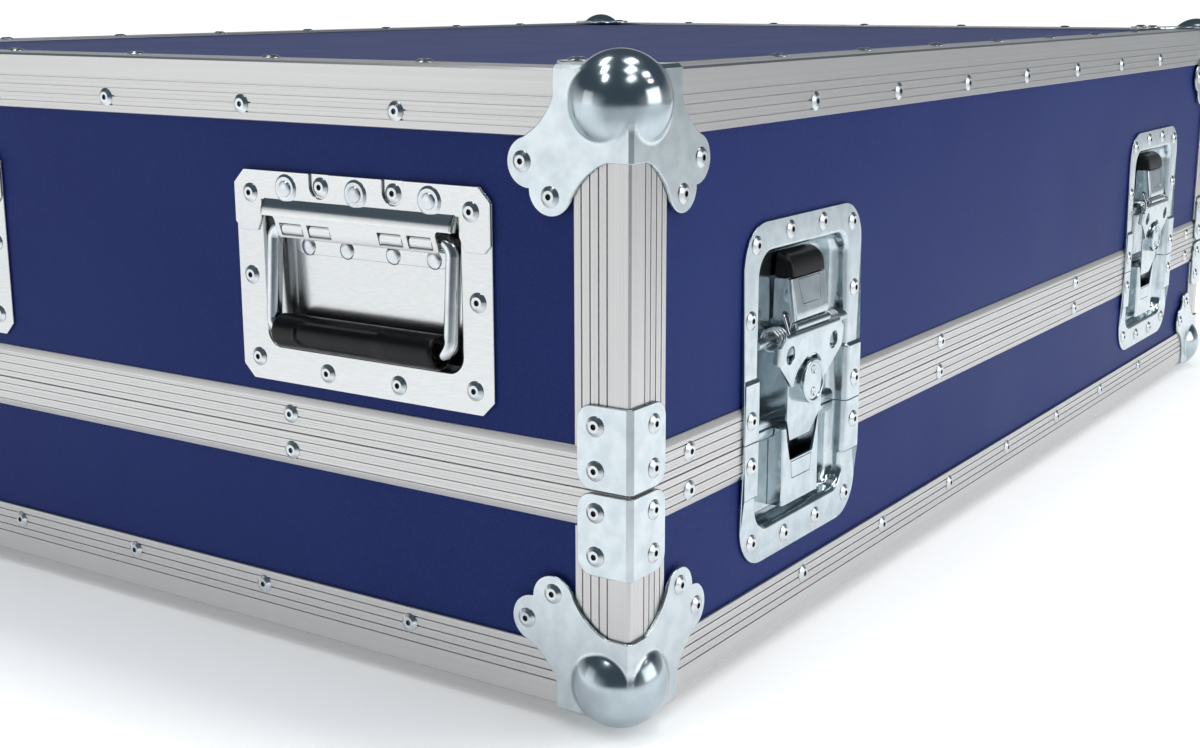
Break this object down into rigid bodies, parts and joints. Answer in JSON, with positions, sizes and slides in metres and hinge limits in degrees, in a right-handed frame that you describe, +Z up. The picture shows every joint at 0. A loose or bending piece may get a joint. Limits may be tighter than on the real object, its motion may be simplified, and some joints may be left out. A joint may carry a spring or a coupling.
{
  "type": "flight case",
  "caption": "Shallow board tray and deep lift-off lid with edge extrusions, ball corners, recessed over-centre latches and drop handles, foam lined for a console.",
  "frame": {"origin": "on the floor, under the middle of the case, which stands on its ball corners", "axes": "+X along the long side, +Z up; the front with two of the latches faces -Y and the handles are on the -X and +X sides"},
  "size_m": [0.9862, 0.6838, 0.3156],
  "materials": {
    "panel_laminate": "satin",
    "edge_aluminium": "satin",
    "corner_zinc": "polished",
    "hardware_zinc": "satin",
    "spring_steel": "satin",
    "black_plastic": "satin",
    "lining_foam": "matte"
  },
  "bodies": {
    "base": {"base_edge_frame": "edge_aluminium", "base_rim": "edge_aluminium", "base_bottom_panel": "panel_laminate", "base_front_panel": "panel_laminate", "base_back_panel": "panel_laminate", "base_left_panel": "panel_laminate", "base_right_panel": "panel_laminate", "base_corner_front_left": "corner_zinc", "base_corner_front_right": "corner_zinc", "base_corner_back_right": "corner_zinc", "base_corner_back_left": "corner_zinc", "base_foam": "lining_foam", "latch_lower_pan_front_left": "hardware_zinc", "latch_lower_pan_front_right": "hardware_zinc", "latch_lower_pan_back_left": "hardware_zinc", "latch_lower_pan_back_right": "hardware_zinc"},
    "lid": {"lid_edge_frame": "edge_aluminium", "lid_rim": "edge_aluminium", "lid_top_panel": "panel_laminate", "lid_front_panel": "panel_laminate", "lid_back_panel": "panel_laminate", "lid_left_panel": "panel_laminate", "lid_right_panel": "panel_laminate", "lid_corner_front_left": "corner_zinc", "lid_corner_front_right": "corner_zinc", "lid_corner_back_right": "corner_zinc", "lid_corner_back_left": "corner_zinc", "lid_foam": "lining_foam", "handle_pan_left_front": "hardware_zinc", "handle_pan_left_back": "hardware_zinc", "handle_pan_right_front": "hardware_zinc", "handle_pan_right_back": "hardware_zinc", "latch_upper_pan_front_left": "hardware_zinc", "latch_upper_pan_front_right": "hardware_zinc", "latch_upper_pan_back_left": "hardware_zinc", "latch_upper_pan_back_right": "hardware_zinc"},
    "handle_left_front": {"handle_bail_left_front": "hardware_zinc", "handle_grip_left_front": "black_plastic"},
    "handle_left_back": {"handle_bail_left_back": "hardware_zinc", "handle_grip_left_back": "black_plastic"},
    "handle_right_front": {"handle_bail_right_front": "hardware_zinc", "handle_grip_right_front": "black_plastic"},
    "handle_right_back": {"handle_bail_right_back": "hardware_zinc", "handle_grip_right_back": "black_plastic"},
    "lever_front_left": {"latch_lever_front_left": "hardware_zinc", "latch_tip_front_left": "black_plastic", "latch_spring_front_left": "spring_steel"},
    "hook_front_left": {"latch_hook_front_left": "hardware_zinc"},
    "lever_front_right": {"latch_lever_front_right": "hardware_zinc", "latch_tip_front_right": "black_plastic", "latch_spring_front_right": "spring_steel"},
    "hook_front_right": {"latch_hook_front_right": "hardware_zinc"},
    "lever_back_left": {"latch_lever_back_left": "hardware_zinc", "latch_tip_back_left": "black_plastic", "latch_spring_back_left": "spring_steel"},
    "hook_back_left": {"latch_hook_back_left": "hardware_zinc"},
    "lever_back_right": {"latch_lever_back_right": "hardware_zinc", "latch_tip_back_right": "black_plastic", "latch_spring_back_right": "spring_steel"},
    "hook_back_right": {"latch_hook_back_right": "hardware_zinc"}
  },
  "joints": [
    {"name": "lid_lift", "type": "slide", "parent": "base", "child": "lid", "axis": [0, 0, 1], "range_m": [0, 0.25]},
    {"name": "handle_swing_left_front", "type": "hinge", "parent": "lid", "child": "handle_left_front", "pos_m": [-0.4802, -0.1762, 0.2248], "axis": [0, 1, 0], "range_deg": [0, 95]},
    {"name": "handle_swing_left_back", "type": "hinge", "parent": "lid", "child": "handle_left_back", "pos_m": [-0.4802, 0.1762, 0.2248], "axis": [0, 1, 0], "range_deg": [0, 95]},
    {"name": "handle_swing_right_front", "type": "hinge", "parent": "lid", "child": "handle_right_front", "pos_m": [0.4802, -0.1762, 0.2248], "axis": [0, -1, 0], "range_deg": [0, 95]},
    {"name": "handle_swing_right_back", "type": "hinge", "parent": "lid", "child": "handle_right_back", "pos_m": [0.4802, 0.1762, 0.2248], "axis": [0, -1, 0], "range_deg": [0, 95]},
    {"name": "latch_lever_front_left", "type": "hinge", "parent": "lid", "child": "lever_front_left", "pos_m": [-0.314, -0.3308, 0.1663], "axis": [1, 0, 0], "range_deg": [0, 90], "stiffness_Nm_per_rad": 0.05, "springref_deg": -28.65},
    {"name": "latch_hook_front_left", "type": "hinge", "parent": "lever_front_left", "child": "hook_front_left", "pos_m": [-0.314, -0.3368, 0.1713], "axis": [1, 0, 0], "range_deg": [-99, 0]},
    {"name": "latch_lever_front_right", "type": "hinge", "parent": "lid", "child": "lever_front_right", "pos_m": [0.314, -0.3308, 0.1663], "axis": [1, 0, 0], "range_deg": [0, 90], "stiffness_Nm_per_rad": 0.05, "springref_deg": -28.65},
    {"name": "latch_hook_front_right", "type": "hinge", "parent": "lever_front_right", "child": "hook_front_right", "pos_m": [0.314, -0.3368, 0.1713], "axis": [1, 0, 0], "range_deg": [-99, 0]},
    {"name": "latch_lever_back_left", "type": "hinge", "parent": "lid", "child": "lever_back_left", "pos_m": [-0.314, 0.3308, 0.1663], "axis": [-1, 0, 0], "range_deg": [0, 90], "stiffness_Nm_per_rad": 0.05, "springref_deg": -28.65},
    {"name": "latch_hook_back_left", "type": "hinge", "parent": "lever_back_left", "child": "hook_back_left", "pos_m": [-0.314, 0.3368, 0.1713], "axis": [-1, 0, 0], "range_deg": [-99, 0]},
    {"name": "latch_lever_back_right", "type": "hinge", "parent": "lid", "child": "lever_back_right", "pos_m": [0.314, 0.3308, 0.1663], "axis": [-1, 0, 0], "range_deg": [0, 90], "stiffness_Nm_per_rad": 0.05, "springref_deg": -28.65},
    {"name": "latch_hook_back_right", "type": "hinge", "parent": "lever_back_right", "child": "hook_back_right", "pos_m": [0.314, 0.3368, 0.1713], "axis": [-1, 0, 0], "range_deg": [-99, 0]}
  ],
  "couplings": [
    {"joint": "latch_hook_front_left", "follows": "latch_lever_front_left", "ratio": -1.1},
    {"joint": "latch_hook_front_right", "follows": "latch_lever_front_right", "ratio": -1.1},
    {"joint": "latch_hook_back_left", "follows": "latch_lever_back_left", "ratio": -1.1},
    {"joint": "latch_hook_back_right", "follows": "latch_lever_back_right", "ratio": -1.1}
  ]
}
